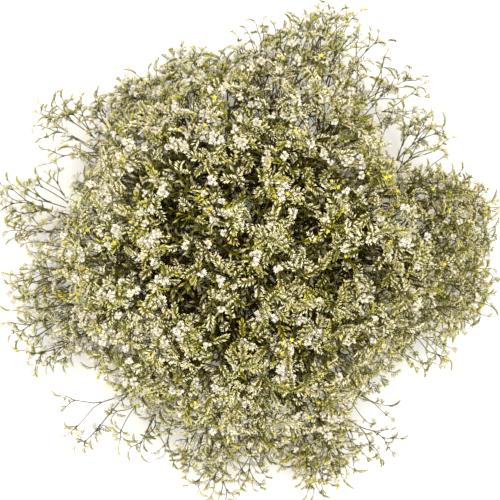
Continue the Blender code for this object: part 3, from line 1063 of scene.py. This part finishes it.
def calyx_finish(colours):
    """Dry florets: green at the foot, cream to white towards the papery rim, some turned to straw."""
    finish = Finish("papery_floret", roughness=0.72)
    along, whim, mood, ripe = (finish.stored(name) for name in ("along", "whim", "mood", "ripe"))
    patch = finish.noise(45 * MM)
    across = finish.node("ShaderNodeSeparateXYZ", None, {"Vector": finish.place()}, "X")
    unripe = 1 - ripe
    fresh = (1 - mood).eased(*FRESH_MOODS)
    straw = mood.eased(*STRAW_MOODS)
    lime = mood.eased(*LIME_MOODS)
    tip = finish.mixed(whim.eased(*WHITE_WHIMS) * 0.4 + ripe * 0.7, colours.cream, colours.white)
    tip = finish.mixed(fresh * unripe * 0.8, tip, colours.fresh)
    tip = finish.mixed(straw * unripe * 0.6, tip, colours.straw)
    tip = finish.mixed(lime * unripe * 0.8, tip, colours.lime)
    greener = fresh * 0.25 + (patch - ripe) * 0.5 + Value(finish, across) * 0.3 - 0.10
    skin = finish.mixed((along - greener).eased(*GREEN_TO_TIP), colours.green, tip)
    # Base colour, with painted shade deep inside the head
    finish.drive("Base Color", finish.with_painted_shade(colours, skin))
    finish.bump(finish.noise(0.9 * MM, detail=3), distance=0.15 * MM, strength=0.6)
    return finish.material


def petal_finish(colours):
    """Small dried petals, deep yellow with paler patches."""
    finish = Finish("yellow_petal", roughness=0.6)
    skin = finish.mixed(finish.noise(2 * MM) * 0.25, colours.yellow, colours.cream)
    # Base colour, with painted shade deep inside the head
    finish.drive("Base Color", finish.with_painted_shade(colours, skin))
    finish.bump(finish.noise(0.7 * MM), distance=0.1 * MM, strength=0.5)
    return finish.material


def twig_finish(colours):
    """Dry stems: olive with darker streaks along them."""
    finish = Finish("dry_twig", roughness=0.68)
    streak = finish.noise(1.1 * MM, detail=3, stretch=(1, 1, 0.08))
    lit = (streak * 0.7 + finish.noise(20 * MM) * 0.3).eased(*LIT_STREAKS)
    skin = finish.mixed(lit, colours.dark_twig, colours.twig)
    # Base colour, with painted shade deep inside the head
    finish.drive("Base Color", finish.with_painted_shade(colours, skin))
    finish.drive("Roughness", streak * 0.2 + 0.58)
    finish.bump(streak, distance=0.2 * MM, strength=0.8)
    return finish.material


def jute_finish(colours):
    """Twine of coarse brown fibres, darker in the grooves of their bump, which is painted shade."""
    finish = Finish("jute_fibre", roughness=0.9)
    fibre = finish.noise(0.5 * MM, detail=4)
    # Painted shade: the fibres darken where their bump is low
    skin = finish.mixed(fibre.eased(*LIT_FIBRES), colours.dark_jute, colours.jute)
    finish.drive("Base Color", skin)
    finish.bump(fibre, distance=0.25 * MM, strength=1.0)
    return finish.material


class STATICE_OT_sprays(Operator):
    """Grow the nineteen flowering sprays."""

    bl_idname = "statice.sprays"
    bl_label = "Grow Sprays"

    def execute(self, context):
        scene = context.scene
        bunch = Bunch(scene.statice_stems, scene.statice_head)
        scatter_sprigs(bunch)
        scatter_wisps(bunch)
        colours = scene.statice_colours
        finishes = {
            "twig": twig_finish(colours),
            "calyx": calyx_finish(colours),
            "petal": petal_finish(colours),
        }
        masters = model_masters(context, finishes)
        for spray in bunch.sprays:
            start = bunch.stem_point(spray, FORK_FROM)
            start_way = (start - bunch.stem_point(spray, FORK_FROM - FORK_AIM)).normalized()
            grow_twigs(bunch, spray, start, start_way, spray.tips)
            piece = model_spray(bunch, spray, masters, finishes)
            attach(piece, BODY)
            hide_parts(f"spray_{spray.number:02d}")
        for piece in masters.values():
            bpy.data.objects.remove(piece)
        return {"FINISHED"}


def twine_plies(points, radius, twist):
    """The two plies of a twine along a dense line of points, as strands."""
    offset, ply_radius = radius * PLY_OFFSET, radius * PLY_RADIUS
    up = square_to((points[1] - points[0]).normalized(), UP)
    plies = ([], [])
    run = 0.0
    for before, here, after in zip([points[0], *points], points, [*points[1:], points[-1]]):
        way = (after - before).normalized()
        up = square_to(way, up)
        run += (here - before).length
        for side, ply in enumerate(plies):
            turn = Matrix.Rotation(tau * run / twist + pi * side, 3, way)
            ply.append(here + turn @ up * offset)
    return [(ply, [ply_radius] * len(ply)) for ply in plies]


def tie_radius(bunch, tie, height):
    """The radius just outside the crossing stems, at a height from the middle of the tie."""
    return bunch.ring_radii[-1] * hypot(1, bunch.twist * height) + bunch.stems.radius + tie.gap


def wound_twine(bunch, tie):
    """The line of the turns round the stems."""
    points = []
    steps = TURN_STEPS * tie.turns
    half = (tie.turns - 1) * tie.radius
    for step in range(steps + 1):
        part = step / steps
        height = half * (2 * part - 1)
        turn = tau * tie.turns * part - pi / 2
        out = tie_radius(bunch, tie, height) + tie.radius
        points.append(Vector((out * cos(turn), out * sin(turn), height)) + bunch.fan_centre)
    return points


def knot_line(centre):
    """The line of a small overhand knot."""
    points = []
    for step in range(KNOT_STEPS + 1):
        t = tau * step / KNOT_STEPS
        x = sin(t) + 2 * sin(2 * t)
        z = cos(t) - 2 * cos(2 * t)
        points.append(centre + Vector((x, -sin(3 * t), z)) * KNOT_SIZE * MM)
    return points


class STATICE_OT_tie(Operator):
    """Wind and knot the twine round the stems."""

    bl_idname = "statice.tie"
    bl_label = "Wind Tie"

    def execute(self, context):
        scene = context.scene
        bunch = Bunch(scene.statice_stems, scene.statice_head)
        tie = scene.statice_tie
        finish = jute_finish(scene.statice_colours)
        out = tie_radius(bunch, tie, 0) + 2 * tie.radius
        knot = bunch.fan_centre + Vector((0, -out, 0))
        strands = twine_plies(wound_twine(bunch, tie), tie.radius, tie.twist)
        strands += twine_plies(knot_line(knot), tie.radius * KNOT_SHARE, tie.twist)
        for side in (-1, 1):
            bend, end = (knot + Vector((side * x, y, z)) * MM for x, y, z in (END_BEND, END_TIP))
            aslant = Vector((side * END_SLANT, 0, -1)).normalized()
            tail = sweep(knot, Vector((side, 0, 0)), bend, aslant, END_STEPS)
            tail += sweep(bend, aslant, end, -UP, END_STEPS)[1:]
            strands += twine_plies(tail, tie.radius * END_SHARE, tie.twist)
        piece = threads("twine_wrap", strands, finish, TWINE_SIDES)
        piece.data.shade_smooth()
        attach(piece, BODY)
        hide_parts("twine_tie")
        return {"FINISHED"}


class STATICE_OT_stage(Operator):
    """Set the floor, the lamps and the camera."""

    bl_idname = "statice.stage"
    bl_label = "Set Stage"

    def execute(self, context):
        stage = context.scene.statice_stage
        colours = context.scene.statice_colours
        deselect()
        bpy.ops.mesh.primitive_plane_add(size=stage.floor_size)
        floor = context.object
        floor.name = "studio_floor"
        finish = Finish("studio_floor", roughness=0.9)
        patches = finish.mixed(finish.noise(FLOOR_PATCH), colours.floor, colours.floor_patch)
        finish.drive("Base Color", patches)
        floor.data.materials.append(finish.material)
        for name, place, size, watts in LAMPS:
            bpy.ops.object.light_add(type="AREA", location=place)
            lamp = context.object
            lamp.name = name
            lamp.data.size = size
            lamp.data.energy = watts
            lamp.rotation_euler = (-Vector(place)).to_track_quat("-Z", "Y").to_euler()
        world = bpy.data.worlds.new("studio")
        world.use_nodes = True
        sky = world.node_tree.nodes["Background"].inputs
        sky["Color"].default_value = (1, 1, 1, 1)
        sky["Strength"].default_value = SKY_STRENGTH
        context.scene.world = world
        far = stage.camera_height - stage.view_level
        place = (CAMERA_ASIDE, CAMERA_ASIDE, stage.camera_height)
        bpy.ops.object.camera_add(location=place, rotation=(0, 0, 0))
        camera = context.object
        camera.data.sensor_width = SENSOR_WIDTH
        camera.data.lens = SENSOR_WIDTH * far / stage.view_width
        context.scene.camera = camera
        context.scene.view_settings.view_transform = "Standard"
        return {"FINISHED"}


class STATICE_PT_sidebar(Panel):
    """The steps and sizes of the bunch."""

    bl_idname = "STATICE_PT_sidebar"
    bl_label = "Dried Statice"
    bl_space_type = "VIEW_3D"
    bl_region_type = "UI"
    bl_category = "Statice"

    def draw(self, context):
        for operator in OPERATORS:
            self.layout.operator(operator.bl_idname)
        for name in GROUPS:
            group = getattr(context.scene, name)
            box = self.layout.box()
            for label in group.__annotations__:
                box.prop(group, label)


OPERATORS = (STATICE_OT_sprays, STATICE_OT_tie, STATICE_OT_stage)
GROUPS = {
    "statice_stems": StaticeStems,
    "statice_head": StaticeHead,
    "statice_spikes": StaticeSpikes,
    "statice_tie": StaticeTie,
    "statice_colours": StaticeColours,
    "statice_stage": StaticeStage,
}
CLASSES = (*GROUPS.values(), *OPERATORS, STATICE_PT_sidebar)


def register():
    for kind in CLASSES:
        bpy.utils.register_class(kind)
    for name, group in GROUPS.items():
        setattr(bpy.types.Scene, name, PointerProperty(type=group))


def unregister():
    for name in GROUPS:
        delattr(bpy.types.Scene, name)
    for kind in reversed(CLASSES):
        bpy.utils.unregister_class(kind)


def main():
    register()
    bpy.ops.statice.sprays()
    bpy.ops.statice.tie()
    bpy.ops.statice.stage()


if __name__ == "__main__":
    main()
